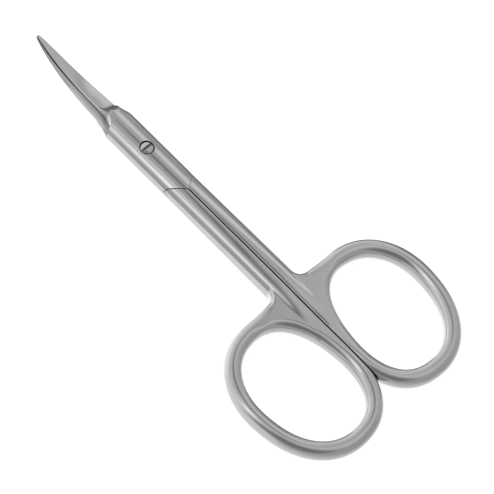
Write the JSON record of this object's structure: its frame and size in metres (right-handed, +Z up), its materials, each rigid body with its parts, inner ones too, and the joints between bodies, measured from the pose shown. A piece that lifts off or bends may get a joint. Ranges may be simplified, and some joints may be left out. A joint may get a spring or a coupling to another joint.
{
  "type": "cuticle scissors",
  "caption": "Small right-handed cuticle scissors in polished stainless steel, with curved pointed blades, a screwed lap joint and closed finger rings.",
  "frame": {"origin": "on the pivot axis, at the level of the surface that the scissors lie on", "axes": "+Y from the pivot to the blade tips, +Z up along the pivot axis through the screw's head, +X towards the ring of the upper half"},
  "size_m": [0.0458, 0.095, 0.0052],
  "materials": {
    "blade_steel": "polished with a soft satin grain",
    "screw_steel": "polished"
  },
  "bodies": {
    "rear": {"rear_half": "blade_steel", "pivot_screw": "screw_steel"},
    "front": {"front_half": "blade_steel"}
  },
  "joints": [
    {"name": "pivot", "type": "hinge", "parent": "rear", "child": "front", "pos_m": [0, 0, 0], "axis": [0, 0, 1], "range_deg": [0, 140]}
  ]
}
